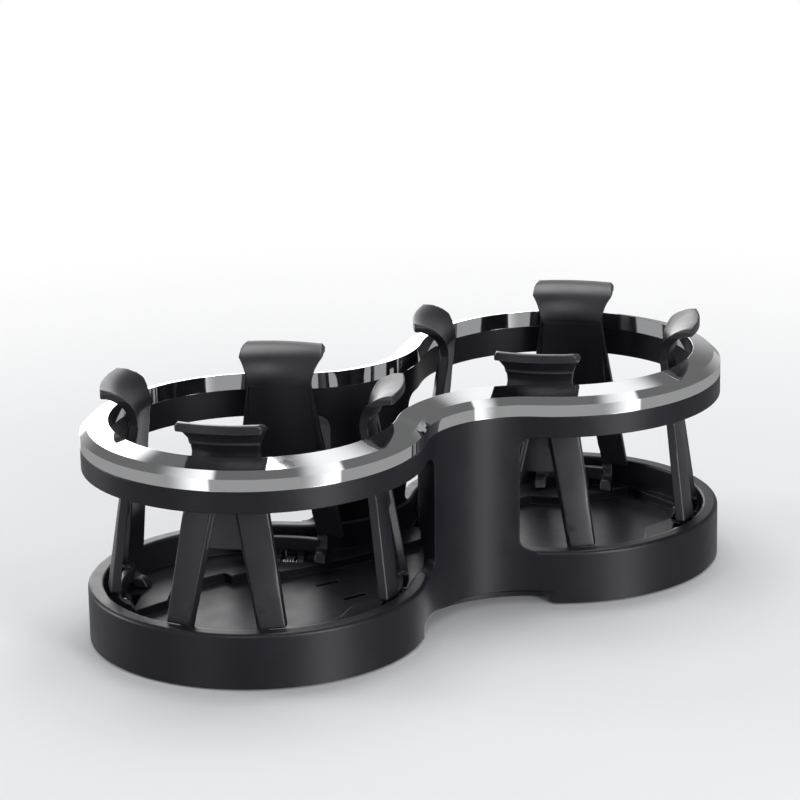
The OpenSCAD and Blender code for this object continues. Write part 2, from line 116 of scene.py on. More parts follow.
@dataclass(frozen=True)
class Moulding:
    """A moulded plastic or rubber surface.

    Attributes:
        base: Mean colour, linear.
        light: Colour of the slightly lighter patches, linear.
        rough: Lowest and highest roughness.
        grain_mm: Size of the fine grain.
        grain_depth: Strength of the grain's bump.
        flow_depth: Strength of the slow unevenness of the moulded skin.
        specular: Specular level.
        corner_mm: Radius of the softened corners.
    """

    base: Point
    light: Point
    rough: Pair
    grain_mm: float = 0.45
    grain_depth: float = 0.14
    flow_depth: float = 0.02
    specular: float = 0.32
    corner_mm: float = 0.6


@dataclass(frozen=True)
class Metal:
    """A metal surface.

    Attributes:
        base: Colour, linear.
        rough: Lowest and highest roughness.
        ripple_mm: Size of the slow waviness.
        ripple: Strength of the waviness.
        scratch: Strength of the fine scratches.
    """

    base: Point
    rough: Pair
    ripple_mm: float
    ripple: float
    scratch: float


MOULDINGS: dict[Finish, Moulding] = {
    Finish.SHELL: Moulding(
        base=(0.0044, 0.0040, 0.0080), light=(0.0064, 0.0060, 0.0108), rough=(0.36, 0.43)
    ),
    Finish.FINGER: Moulding(
        base=(0.0070, 0.0066, 0.0108), light=(0.0095, 0.0090, 0.0140), rough=(0.34, 0.42),
        specular=0.5,
    ),
    Finish.PAD: Moulding(
        base=(0.008, 0.008, 0.008), light=(0.014, 0.014, 0.014), rough=(0.75, 0.88),
        grain_mm=0.6, grain_depth=0.25, flow_depth=0.1, specular=0.25,
    ),
}
METALS: dict[Finish, Metal] = {
    Finish.CHROME: Metal((0.88, 0.885, 0.90), (0.03, 0.06), 20.0, 0.004, 0.004),
    Finish.SCREW: Metal((0.50, 0.50, 0.52), (0.28, 0.40), 2.0, 0.03, 0.05),
    Finish.PIN: Metal((0.56, 0.57, 0.59), (0.18, 0.28), 2.0, 0.02, 0.04),
    Finish.SPRING: Metal((0.40, 0.40, 0.43), (0.26, 0.36), 2.0, 0.02, 0.04),
}


class NodeGraph:
    """A thin wrapper for building a node material on Object coordinates."""

    def __init__(self, name: str) -> None:
        """Makes the material.

        Args:
            name: Name of the material.
        """
        self.material = bpy.data.materials.new(name)
        self.material.use_nodes = True
        self.tree = self.material.node_tree
        self.shader = self.tree.nodes["Principled BSDF"]
        self.position = self.tree.nodes.new("ShaderNodeTexCoord").outputs["Object"]

    def link(self, source: Socket, target: Socket) -> None:
        """Links one socket to another."""
        self.tree.links.new(source, target)

    def surface(self, source: Socket) -> None:
        """Links a shader to the material's output."""
        self.link(source, self.tree.nodes["Material Output"].inputs["Surface"])

    def noise(self, size_mm: float, detail: float = 3.0, stretch: Point = (1, 1, 1)) -> Socket:
        """Noise whose features are about size_mm across.

        Args:
            size_mm: Size of the features.
            detail: Number of finer layers.
            stretch: Scale along each axis, for drawn or brushed surfaces.

        Returns:
            The noise value.
        """
        place = self.tree.nodes.new("ShaderNodeMapping")
        place.inputs["Scale"].default_value = stretch
        self.link(self.position, place.inputs["Vector"])
        made = self.tree.nodes.new("ShaderNodeTexNoise")
        made.inputs["Scale"].default_value = 1.0 / (size_mm * MM)
        made.inputs["Detail"].default_value = detail
        self.link(place.outputs["Vector"], made.inputs["Vector"])
        return made.outputs["Fac"]

    def ramp(
        self, source: Socket, start: float, end: float, low: float, high: float,
        curve: str = "SMOOTHSTEP",
    ) -> Socket:
        """Maps start to end of a source onto low to high.

        Args:
            source: The value that is read.
            start: Where the change begins.
            end: Where it ends.
            low: Result before it.
            high: Result after it.
            curve: Interpolation of the Map Range node.

        Returns:
            The mapped value.
        """
        made = self.tree.nodes.new("ShaderNodeMapRange")
        made.interpolation_type = curve
        ends = (("From Min", start), ("From Max", end), ("To Min", low), ("To Max", high))
        for name, value in ends:
            made.inputs[name].default_value = value
        self.link(source, made.inputs["Value"])
        return made.outputs["Result"]

    def span(self, source: Socket, low: float, high: float) -> Socket:
        """Maps 0.3 to 0.7 of a noise, which holds most of it, onto low to high."""
        return self.ramp(source, 0.3, 0.7, low, high, "LINEAR")

    def math(
        self, operation: str, first: Socket, second: Socket | Point | None = None
    ) -> Socket:
        """Adds a scalar or vector math node, by the kind of its operation.

        Args:
            operation: Name of the operation.
            first: First source.
            second: Second source, or a fixed vector.

        Returns:
            The result.
        """
        vector = operation in ("NORMALIZE", "DOT_PRODUCT", "LENGTH")
        made = self.tree.nodes.new("ShaderNodeVectorMath" if vector else "ShaderNodeMath")
        made.operation = operation
        self.link(first, made.inputs[0])
        if isinstance(second, Socket):
            self.link(second, made.inputs[1])
        elif second is not None:
            made.inputs[1].default_value = second
        return made.outputs["Value" if operation in ("DOT_PRODUCT", "LENGTH") else 0]

    def blend(self, factor: Socket, low: Point, high: Point) -> Socket:
        """Colour between low and high by a factor.

        Args:
            factor: The factor.
            low: Colour where it is 0.
            high: Colour where it is 1.

        Returns:
            The colour.
        """
        made = self.tree.nodes.new("ShaderNodeMix")
        made.data_type = "RGBA"
        made.inputs[6].default_value = (*low, 1.0)
        made.inputs[7].default_value = (*high, 1.0)
        self.link(factor, made.inputs[0])
        return made.outputs[2]

    def bump(
        self, height: Socket, strength: float, distance_mm: float, under: Socket | None = None
    ) -> Socket:
        """Bump from a height.

        Args:
            height: The height.
            strength: Strength of the bump.
            distance_mm: Depth that the height stands for.
            under: Normal of a coarser bump below this one.

        Returns:
            The bumped normal.
        """
        made = self.tree.nodes.new("ShaderNodeBump")
        made.inputs["Strength"].default_value = strength
        made.inputs["Distance"].default_value = distance_mm * MM
        self.link(height, made.inputs["Height"])
        if under is not None:
            self.link(under, made.inputs["Normal"])
        return made.outputs["Normal"]

    def corner(self, radius_mm: float, samples: int = 6) -> Socket:
        """Normal that turns softly over the corners of the mesh.

        Args:
            radius_mm: Radius of the soft corner.
            samples: Rays that the node casts at each point.

        Returns:
            The softened normal.
        """
        made = self.tree.nodes.new("ShaderNodeBevel")
        made.samples = samples
        made.inputs["Radius"].default_value = radius_mm * MM
        return made.outputs[0]


class MaterialLibrary:
    """Builds each material once and hands it out."""

    def __init__(self) -> None:
        """Starts empty."""
        self._made: dict[Finish, bpy.types.Material] = {}

    def get(self, finish: Finish) -> bpy.types.Material:
        """The material of a finish.

        Args:
            finish: The finish.

        Returns:
            Its material.
        """
        if finish not in self._made:
            maker = self._moulded if finish in MOULDINGS else self._metal
            self._made[finish] = maker(finish)
        return self._made[finish]

    @staticmethod
    def _moulded(finish: Finish) -> bpy.types.Material:
        """Satin plastic or rubber with a spark-eroded grain.

        Args:
            finish: The finish.

        Returns:
            Its material.
        """
        look = MOULDINGS[finish]
        graph = NodeGraph(finish.value)
        inputs = graph.shader.inputs
        patches = graph.span(graph.noise(22.0, 2.0), 0.0, 1.0)
        graph.link(graph.blend(patches, look.base, look.light), inputs["Base Color"])
        graph.link(graph.span(graph.noise(7.0), *look.rough), inputs["Roughness"])
        corner = graph.corner(look.corner_mm)
        skin = graph.bump(graph.noise(9.0, 2.0), look.flow_depth, 0.3, corner)
        grain = graph.bump(graph.noise(look.grain_mm, 2.0), look.grain_depth, 0.04, skin)
        graph.link(grain, inputs["Normal"])
        inputs["Specular IOR Level"].default_value = look.specular
        return graph.material

    @staticmethod
    def _metal(finish: Finish) -> bpy.types.Material:
        """Plated or bare metal.

        Args:
            finish: The finish.

        Returns:
            Its material.
        """
        look = METALS[finish]
        graph = NodeGraph(finish.value)
        inputs = graph.shader.inputs
        inputs["Metallic"].default_value = 1.0
        inputs["Base Color"].default_value = (*look.base, 1.0)
        graph.link(graph.span(graph.noise(4.0, 4.0), *look.rough), inputs["Roughness"])
        wave = graph.bump(graph.noise(look.ripple_mm, 1.0), look.ripple, 0.3)
        drawn = graph.noise(0.5, 3.0, (1.0, 1.0, 9.0))
        graph.link(graph.bump(drawn, look.scratch, 0.02, wave), inputs["Normal"])
        return graph.material


@dataclass(frozen=True)
class Rounding:
    """Rounded edges of a moulded piece.

    Attributes:
        width: Width of the rounding.
        segments: Steps across it.
        angle: Edges that turn by more degrees than this are rounded.
        room: Both faces beside an edge are wider than this many roundings.
    """

    width: float = 0.4
    segments: int = 3
    angle: float = 25.0
    room: float = 1.5


@dataclass(frozen=True)
class Bend:
    """Where a piece would turn from following one body to following another; it is only
    recorded, and no piece is made to follow either body or to bend.

    Attributes:
        parent: Body that it would follow up to the start.
        child: Body that it would follow from the end on.
        start: Point where the bend starts, metres.
        end: Point where it ends, metres.
    """

    parent: str
    child: str
    start: Point
    end: Point


class Workshop:
    """Mesh steps that every piece shares."""

    def __init__(self, materials: MaterialLibrary) -> None:
        """Remembers the materials and what the record says of each node.

        Args:
            materials: Where the finishes come from.
        """
        self.materials = materials
        self.nodes: dict[str, bpy.types.Object] = frame["nodes"]
        record = frame["record"]
        bodies = record["behaviour"]["bodies"]
        self.slots = {row["node"]: row["material_slot"] for row in record["subparts"]}
        self.bodies = {node: body for body, held in bodies.items() for node in held}

    def merged(self, node: str) -> Shape:
        """A copy of a CAD node's mesh with its triangles joined into faces.

        Args:
            node: Name of the node.

        Returns:
            The copy.
        """
        bm = bmesh.new()
        bm.from_mesh(self.nodes[node].data)
        bmesh.ops.remove_doubles(bm, verts=bm.verts, dist=WELD_COPY)
        bmesh.ops.dissolve_degenerate(bm, edges=bm.edges, dist=SHORTEST_EDGE)
        bmesh.ops.dissolve_limit(
            bm, angle_limit=math.radians(FLAT_TURN), verts=bm.verts, edges=bm.edges,
            delimit=set(),
        )
        return bm

    @staticmethod
    def round_edges(bm: Shape, rounding: Rounding) -> None:
        """Rounds the sharp edges of a closed mesh.

        Args:
            bm: The mesh.
            rounding: How to round.
        """
        width = rounding.width * MM
        picked = [
            edge
            for edge in bm.edges
            if len(edge.link_faces) == 2
            and edge.calc_face_angle(0.0) > math.radians(rounding.angle)
            and all(
                face.calc_area() > rounding.room * width * edge.calc_length()
                for face in edge.link_faces
            )
        ]
        bmesh.ops.bevel(
            bm, geom=picked, offset=width, offset_type="OFFSET", segments=rounding.segments,
            profile=0.5, affect="EDGES", clamp_overlap=False, material=-1,
        )

    def publish(
        self,
        bm: Shape,
        name: str,
        finish: Finish,
        nodes: Sequence[str],
        crease: float = 35.0,
        bend: Bend | None = None,
    ) -> None:
        """Turns a mesh into a finished piece that stands for its nodes.

        Args:
            bm: The mesh, in metres in the frame; it is freed.
            name: Name of the piece.
            finish: Its finish.
            nodes: The CAD nodes that it stands for.
            crease: Edges that turn by more degrees than this are shaded sharp.
            bend: Where the piece would bend between two bodies; if it is given, the piece
                stays fixed in the frame and follows no body.
        """
        mesh = bpy.data.meshes.new(name)
        bm.to_mesh(mesh)
        bm.free()
        if "custom_normal" in mesh.attributes:
            mesh.attributes.remove(mesh.attributes["custom_normal"])
        mesh.shade_smooth()
        mesh.set_sharp_from_angle(angle=math.radians(crease))
        mesh.materials.append(self.materials.get(finish))
        made = bpy.data.objects.new(name, mesh)
        bpy.context.scene.collection.objects.link(made)
        even = made.modifiers.new("even_normals", "WEIGHTED_NORMAL")
        even.keep_sharp = True
        if bend is None:
            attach(made, self.bodies[nodes[0]])
        else:
            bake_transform(made)
        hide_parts(*nodes)
        LOG.info("%s: %d faces, for %s", name, len(mesh.polygons), ", ".join(nodes))

    def paint(self, node: str) -> None:
        """Gives a CAD node that stays its own material.

        Args:
            node: Name of the node.
        """
        obj = self.nodes[node]
        finish = Finish(self.slots[node])
        material = self.materials.get(finish)
        if not obj.material_slots:
            obj.data.materials.append(material)
        for slot in obj.material_slots:
            slot.material = material
        LOG.info("%s: stays its node, in %s", node, finish.value)


@dataclass
class PlanShape:
    """The plan of the holder: two cups and the waist arcs that join them.

    Attributes:
        half_pitch: Half the distance between the cup centres.
        steps_cup: Steps round a cup's 270 degrees.
        steps_waist: Steps round a waist arc's 90 degrees.
    """

    half_pitch: float = 61.0009
    steps_cup: int = 216
    steps_waist: int = 54

    def centre(self, side: Side) -> Vector:
        """Centre of a cup in metres."""
        return Vector((side.value * self.half_pitch * MM, 0, 0))

    def sweep(self, bm: Shape, profile: list[Edge]) -> None:
        """Sweeps a profile round the whole plan.

        Args:
            bm: The mesh that holds the profile at the left cup's 45 degree line.
            profile: Edges of the profile.
        """
        pitch = self.half_pitch * MM
        stations = (
            ((-pitch, 0, 0), 270.0, self.steps_cup),
            ((0, -pitch, 0), -90.0, self.steps_waist),
            ((pitch, 0, 0), 270.0, self.steps_cup),
            ((0, pitch, 0), -90.0, self.steps_waist),
        )
        current: list = list(profile) + list({vert for edge in profile for vert in edge.verts})
        for centre, degrees, steps in stations:
            result = bmesh.ops.spin(
                bm, geom=current, cent=centre, axis=UP, dvec=(0, 0, 0),
                angle=math.radians(degrees), steps=steps, use_duplicate=False,
            )
            current = result["geom_last"]
        bmesh.ops.remove_doubles(bm, verts=bm.verts, dist=WELD_SWEEP)
        bmesh.ops.recalc_face_normals(bm, faces=bm.faces)


@dataclass
class TrimRing:
    """The bright plated trim: a thin channel section swept round the plan.

    Attributes:
        plan: The plan that it follows.
        outer: Radius and height of the lower and of the upper edge of the outer face.
        chamfer: Radius and height of the edge between chamfer and top face.
        inner: Radius and height of the top inner edge.
        inner_low: Height of the lower edge of the inner face.
        wall: Wall thickness.
        hollow: Drop of the hollow's inner corner below the top inner edge, shift of its
            middle corner inwards and drop of its outer corner below the outer face.
        soft: Rounding of the lower outer edge and of the two edges of the inner face.
        soft_steps: Steps across the rounding.
        tab_r: Inner radius of the tabs.
        tab: Half width, radial thickness, lowest height and height of the tabs.
        tab_angles: Angles of a cup's tabs, degrees from the direction away from the waist.
        crease: Edges that turn by more degrees than this are shaded sharp.
    """

    plan: PlanShape
    outer: tuple[Pair, Pair] = ((55.0, 64.3), (55.0, 68.2))
    chamfer: Pair = (52.7, 70.4)
    inner: Pair = (45.8, 72.3)
    inner_low: float = 66.8
    wall: float = 1.7
    hollow: Point = (2.295, 0.6, 0.8)
    soft: float = 0.16
    soft_steps: int = 4
    tab_r: float = 49.25
    tab: tuple[float, float, float, float] = (4.0, 2.9, 61.3, 8.5)
    tab_angles: Sequence[float] = (-90.0, -30.0, 30.0, 90.0)
    crease: float = 12.0

    def build(self, shop: Workshop) -> None:
        """Makes the trim and puts it in place of its node.

        Args:
            shop: The workshop.
        """
        bm = bmesh.new()
        self.plan.sweep(bm, self._profile(bm))
        self._tabs(bm)
        shop.publish(bm, "bright_trim", Finish.CHROME, ["trim_ring"], self.crease)

    def _profile(self, bm: Shape) -> list[Edge]:
        """Draws the section, with the corners rounded that the eye meets.

        Args:
            bm: The mesh that takes it.

        Returns:
            Its edges.
        """
        low, high = self.outer
        drop, shift, sink = self.hollow
        top_r, top_z = self.inner
        inside = top_r + self.wall
        outside = low[0] - self.wall
        corners = [
            low, high, self.chamfer, self.inner, (top_r, self.inner_low),
            (inside, self.inner_low), (inside, top_z - drop),
            (self.chamfer[0] - shift, self.chamfer[1] - self.wall),
            (outside, high[1] - sink), (outside, low[1]),
        ]
        turn = Matrix.Rotation(math.radians(45), 4, "Z")
        place = Matrix.Translation(self.plan.centre(Side.LEFT)) @ turn
        verts = [bm.verts.new(place @ Vector((r * MM, 0, z * MM))) for r, z in corners]
        bm.faces.new(verts)
        bmesh.ops.bevel(
            bm, geom=verts[:1] + verts[3:5], offset=self.soft * MM, offset_type="OFFSET",
            segments=self.soft_steps, profile=0.5, affect="VERTICES", clamp_overlap=False,
            material=-1,
        )
        bmesh.ops.delete(bm, geom=list(bm.faces), context="FACES_ONLY")
        return list(bm.edges)

    def _tabs(self, bm: Shape) -> None:
        """Adds the locating tabs that reach into the ring channel.

        Args:
            bm: The trim's mesh.
        """
        half, thick, low, height = self.tab
        place = Vector((self.tab_r + thick / 2, 0, low + height / 2)) * MM
        size = Matrix.Diagonal((thick * MM, 2 * half * MM, height * MM, 1))
        for side in Side:
            ahead = 180 if side is Side.LEFT else 0
            for degrees in self.tab_angles:
                turn = Matrix.Rotation(math.radians(degrees + ahead), 4, "Z")
                spot = Matrix.Translation(self.plan.centre(side)) @ turn
                matrix = spot @ Matrix.Translation(place) @ size
                bmesh.ops.create_cube(bm, size=1.0, matrix=matrix)


@dataclass
class MouldedPieces:
    """The shell and the cover, which stay CAD nodes, and the fingers, rounded copies.

    Attributes:
        kept: Nodes that only get their material.
        edge: Rounding of the fingers.
    """

    kept: Sequence[str] = ("body_shell", "bottom_cover")
    edge: Rounding = Rounding()

    def build(self, shop: Workshop) -> None:
        """Dresses or makes every moulded piece.

        Args:
            shop: The workshop.
        """
        for node in shop.nodes:
            if node in self.kept:
                shop.paint(node)
            elif "_finger_" in node:
                bm = shop.merged(node)
                shop.round_edges(bm, self.edge)
                name = node.replace("finger", "sprung_finger")
                shop.publish(bm, name, Finish(shop.slots[node]), [node])


@dataclass
class HingeSprings:
    """The torsion springs, wound as one wire each.

    Attributes:
        wire: Wire radius.
        coil: Mean coil radius.
        turns: Number of turns.
        length: Length of the coil along the pin.
        arms: Length of the arm behind the cross bar and of the one in the tray.
        bend: Heights over the hinge between which the arm would bend with its finger; they are
            only recorded, and the spring does not bend.
        steps_turn: Steps round one turn.
        sides: Sides of the wire.
        crease: Edges that turn by more degrees than this are shaded sharp.
    """

    wire: float = 0.42
    coil: float = 2.0
    turns: float = 4.25
    length: float = 3.84
    arms: Pair = (8.0, 5.2)
    bend: Pair = (2.6, 5.0)
    steps_turn: int = 28
    sides: int = 14
    crease: float = 60.0

    def build(self, shop: Workshop) -> None:
        """Makes the eight springs.

        Args:
            shop: The workshop.
        """
        for joint in frame["record"]["behaviour"]["joints"]:
            side, corner = joint["name"].replace("_hinge", "").split("_")
            pivot = Vector(joint["pos_m"])
            bm = self._wound(pivot, Vector(joint["axis"]))
            low, high = (tuple(pivot + UP * rise * MM) for rise in self.bend)
            bend = Bend(joint["parent"], joint["child"], low, high)
            name, node = f"{side}_wound_spring_{corner}", f"{side}_spring_{corner}"
            shop.publish(bm, name, Finish.SPRING, [node], self.crease, bend)

    def _wound(self, pivot: Vector, axis: Vector) -> Shape:
        """Winds one spring.

        Args:
            pivot: Point on the hinge axis, metres.
            axis: Direction of the hinge axis.

        Returns:
            The spring's mesh.
        """
        outward = axis.cross(UP).normalized()
        steps = int(self.turns * self.steps_turn)
        bm = bmesh.new()
        start = pivot - UP * self.coil * MM - axis * self.length / 2 * MM
        turn = Matrix((axis, UP, outward)).transposed().to_4x4()
        verts = bmesh.ops.create_circle(
            bm, segments=self.sides, radius=self.wire * MM,
            matrix=Matrix.Translation(start) @ turn,
        )["verts"]
        edges = list({edge for vert in verts for edge in vert.link_edges})
        self._arm(bm, edges, -outward * self.arms[1] * MM)
        result = bmesh.ops.spin(
            bm, geom=verts + edges, cent=pivot, axis=-axis,
            dvec=axis * (self.length / steps) * MM, angle=math.radians(360 * self.turns),
            steps=steps, use_duplicate=False,
        )
        last = [item for item in result["geom_last"] if isinstance(item, Edge)]
        self._arm(bm, last, UP * self.arms[0] * MM)
        open_edges = [edge for edge in bm.edges if edge.is_boundary]
        bmesh.ops.holes_fill(bm, edges=open_edges, sides=0)
        bmesh.ops.recalc_face_normals(bm, faces=bm.faces)
        return bm

    @staticmethod
    def _arm(bm: Shape, edges: list[Edge], reach: Vector) -> None:
        """Draws a straight arm from a ring of the wire.

        Args:
            bm: The spring's mesh.
            edges: Edges of the ring.
            reach: The arm, from its foot to its end, metres.
        """
        drawn = bmesh.ops.extrude_edge_only(bm, edges=edges)["geom"]
        moved = [item for item in drawn if isinstance(item, Vert)]
        bmesh.ops.translate(bm, verts=moved, vec=reach)


@dataclass
class CoverScrews:
    """Eight countersunk screws with a cross recess.

    Attributes:
        plan: The plan that holds the cup centres.
        places: X from the cup centre, and Y, of the screws.
        low: Height of the face of the heads.
        tip: Height of the tips.
        head: Head radius and height.
        head_edge: Softening of the edge of the face.
        shank: Shank radius.
        point: Length and width of the bevel at the tip.
        cross: Half length, half width and depth of the recess.
        cross_taper: Size of the floor of the recess, as a share of its mouth.
        sides: Sides of the head.
        crease: Edges that turn by more degrees than this are shaded sharp.
    """

    plan: PlanShape
    places: Pair = (17.0, 43.0)
    low: float = 0.8
    tip: float = 7.4
    head: Pair = (2.6, 1.4)
    head_edge: float = 0.08
    shank: float = 1.2
    point: float = 0.5
    cross: Point = (1.35, 0.35, 0.9)
    cross_taper: float = 0.72
    sides: int = 32
    crease: float = 40.0

    def build(self, shop: Workshop) -> None:
        """Makes the screws as one piece.

        Args:
            shop: The workshop.
        """
        bm = bmesh.new()
        across, along = (value * MM for value in self.places)
        for side in Side:
            for x in (-across, across):
                for y in (-along, along):
                    self._screw(bm, self.plan.centre(side) + Vector((x, y, 0)))
        bmesh.ops.recalc_face_normals(bm, faces=bm.faces)
        name, nodes = "cross_head_screws", ["cover_screws"]
        shop.publish(bm, name, Finish.SCREW, nodes, self.crease)

    def _screw(self, bm: Shape, place: Vector) -> None:
        """Adds one screw.

        Args:
            bm: The mesh of the screws.
            place: Its place on the floor plane, metres.
        """
        rim_r, rise = self.head
        base = Matrix.Translation(place + UP * self.low * MM)
        rim = bmesh.ops.create_circle(
            bm, segments=self.sides, radius=(rim_r - self.head_edge) * MM, matrix=base
        )["verts"]
        edges = list({edge for vert in rim for edge in vert.link_edges})
        self._recess(bm, place, base, edges)
        length = self.tip - self.low
        rings = (
            (rim_r, self.head_edge), (self.shank, rise), (self.shank, length - self.point),
            (self.shank - self.point, length),
        )
        for radius, height in rings:
            wall = bmesh.ops.extrude_edge_only(bm, edges=edges)["geom"]
            edges = [item for item in wall if isinstance(item, Edge) and item.is_boundary]
            ring = list({vert for edge in edges for vert in edge.verts})
            share = radius * MM / (ring[0].co - base.translation).xy.length
            bmesh.ops.scale(
                bm, vec=(share, share, 1), space=Matrix.Translation(-place), verts=ring
            )
            lift = base.translation.z + height * MM - ring[0].co.z
            bmesh.ops.translate(bm, verts=ring, vec=UP * lift)
        bmesh.ops.holes_fill(bm, edges=edges, sides=0)

    def _recess(self, bm: Shape, place: Vector, base: Matrix, rim: list[Edge]) -> None:
        """Fills a head's face, with the cross sunk into it.

        Args:
            bm: The mesh of the screws.
            place: Place of the screw on the floor plane, metres.
            base: Transform from the middle of the face.
            rim: Edges round the face.
        """
        long, wide, depth = self.cross
        corners = [
            (long, -wide), (long, wide), (wide, wide), (wide, long),
            (-wide, long), (-wide, wide), (-long, wide), (-long, -wide),
            (-wide, -wide), (-wide, -long), (wide, -long), (wide, -wide),
        ]
        verts = [bm.verts.new(base @ Vector((x * MM, y * MM, 0))) for x, y in corners]
        mouth = [bm.edges.new(pair) for pair in zip(verts, verts[1:] + verts[:1])]
        bmesh.ops.bridge_loops(bm, edges=rim + mouth)
        sunk = bmesh.ops.extrude_edge_only(bm, edges=mouth)["geom"]
        moved = [item for item in sunk if isinstance(item, Vert)]
        bmesh.ops.scale(
            bm, vec=(self.cross_taper, self.cross_taper, 1),
            space=Matrix.Translation(-place), verts=moved,
        )
        bmesh.ops.translate(bm, verts=moved, vec=UP * depth * MM)
        floor = [item for item in sunk if isinstance(item, Edge) and item.is_boundary]
        bmesh.ops.holes_fill(bm, edges=floor, sides=0)


@dataclass
class GripPads:
    """The round rubber pads under the base, with shallow rings.

    Attributes:
        plan: The plan that holds the cup centres.
        radius: Outer radius.
        height: Thickness.
        rings: Mean radii of the grooves on the underside.
        groove: Half width and depth of a groove, and width of its slope.
        edge: Size of the soft lower edge, and how far its middle stands off the corner.
        steps: Steps round a pad.
    """

    plan: PlanShape
    radius: float = 20.0
    height: float = 0.8
    rings: Sequence[float] = (6.0, 10.5, 15.0)
    groove: Point = (0.7, 0.3, 0.2)
    edge: Pair = (0.25, 0.07)
    steps: int = 96

    def build(self, shop: Workshop) -> None:
        """Makes both pads.

        Args:
            shop: The workshop.
        """
        for side in Side:
            name = side.name.lower()
            bm = self._pad(self.plan.centre(side))
            shop.publish(bm, f"{name}_ringed_pad", Finish.PAD, [f"{name}_pad"])

    def _pad(self, centre: Vector) -> Shape:
        """Spins one pad.

        Args:
            centre: Its centre, metres.

        Returns:
            The pad's mesh.
        """
        half, deep, slope = self.groove
        soft, off = self.edge
        rim = self.radius
        points = [(0.0, 0.0)]
        for ring in self.rings:
            points += [
                (ring - half, 0.0), (ring - half + slope, deep),
                (ring + half - slope, deep), (ring + half, 0.0),
            ]
        points += [
            (rim - soft, 0.0), (rim - off, off), (rim, soft), (rim, self.height),
            (0.0, self.height),
        ]
        bm = bmesh.new()
        verts = [bm.verts.new(centre + Vector((r * MM, 0, z * MM))) for r, z in points]
        edges = [bm.edges.new(pair) for pair in zip(verts, verts[1:])]
        bmesh.ops.spin(
            bm, geom=verts + edges, cent=centre, axis=UP, dvec=(0, 0, 0),
            angle=math.tau, steps=self.steps, use_merge=True, use_duplicate=False,
        )
        bmesh.ops.remove_doubles(bm, verts=bm.verts, dist=WELD_SPIN)
        bmesh.ops.recalc_face_normals(bm, faces=bm.faces)
        return bm


@dataclass
class CameraRig:
    """The camera of the reference view, from a fit to the measured sizes.

    Attributes:
        azimuth: Heading, degrees; 0 looks along +Y.
        elevation: Height of the eye above the horizon, degrees.
        roll: Turn about the view axis, degrees.
        sensor: Width of the sensor.
        lens: Focal length on that sensor.
        place: Eye position, metres.
        clip: Nearest and farthest distance seen, metres.
    """

    azimuth: float = -35.696
    elevation: float = 16.733
    roll: float = -1.048
    sensor: float = 36.0
    lens: float = 150.82
    place: Point = (-0.61381, -0.84880, 0.38010)
    clip: Pair = (0.05, 20.0)

    def build(self) -> None:
        """Makes the camera and the scene's active one."""
        a, e, r = (math.radians(v) for v in (self.azimuth, self.elevation, self.roll))
        back = Vector((math.sin(a) * math.cos(e), -math.cos(a) * math.cos(e), math.sin(e)))
        right = (-back).cross(UP).normalized()
        up = right.cross(-back)
        x_axis = math.cos(r) * right + math.sin(r) * up
        y_axis = -math.sin(r) * right + math.cos(r) * up
        data = bpy.data.cameras.new("view_camera")
        data.sensor_width = self.sensor
        data.lens = self.lens
        data.clip_start, data.clip_end = self.clip
        made = bpy.data.objects.new("view_camera", data)
        turn = Matrix((x_axis, y_axis, back)).transposed().to_4x4()
        made.matrix_world = Matrix.Translation(self.place) @ turn
        bpy.context.scene.collection.objects.link(made)
        bpy.context.scene.camera = made


def direction(azimuth: float, elevation: float) -> Vector:
    """Unit vector of a direction.

    Args:
        azimuth: Degrees from +X towards +Y.
        elevation: Degrees above the floor.

    Returns:
        The vector.
    """
    turn, rise = math.radians(azimuth), math.radians(elevation)
    flat = math.cos(rise)
    return Vector((math.cos(turn) * flat, math.sin(turn) * flat, math.sin(rise)))


def staged(name: str, bm: Shape) -> bpy.types.Object:
    """Args:
        name: Name of the object.
        bm: Its mesh; it is freed.

    Returns:
        The object.
    """
    data = bpy.data.meshes.new(name)
    bm.to_mesh(data)
    bm.free()
    made = bpy.data.objects.new(name, data)
    bpy.context.scene.collection.objects.link(made)
    return made


@dataclass(frozen=True)
class Softbox:
    """A soft area light that faces the holder.

    Attributes:
        name: Name of the light.
        azimuth: Direction seen from the holder, degrees from +X towards +Y.
        elevation: Height above the floor, degrees.
        distance: Distance, metres.
        size: Width and height, metres.
        power: Watts.
        aim: Height that it faces, metres.
    """

    name: str
    azimuth: float
    elevation: float
    distance: float
    size: Pair
    power: float
    aim: float = 0.04

    def build(self) -> None:
        """Makes the light."""
        ray = direction(self.azimuth, self.elevation)
        data = bpy.data.lights.new(self.name, "AREA")
        data.shape = "RECTANGLE"
        data.size, data.size_y = self.size
        data.energy = self.power
        made = bpy.data.objects.new(self.name, data)
        made.location = UP * self.aim + ray * self.distance
        made.rotation_euler = (-ray).to_track_quat("-Z", "Y").to_euler()
        bpy.context.scene.collection.objects.link(made)


@dataclass(frozen=True)
class TentBand:
    """A white band on the light tent that shiny surfaces reflect.

    The left and right edges are seen from inside, with the end above the start.

    Attributes:
        start: Azimuth and elevation of one end.
        end: Azimuth and elevation of the other end.
        half_width: Half the width of the band, degrees.
        soft: Widths of its soft left, right and end edges, degrees.
        level: Brightness that it adds.
    """

    start: Pair
    end: Pair
    half_width: float
    soft: Point
    level: float


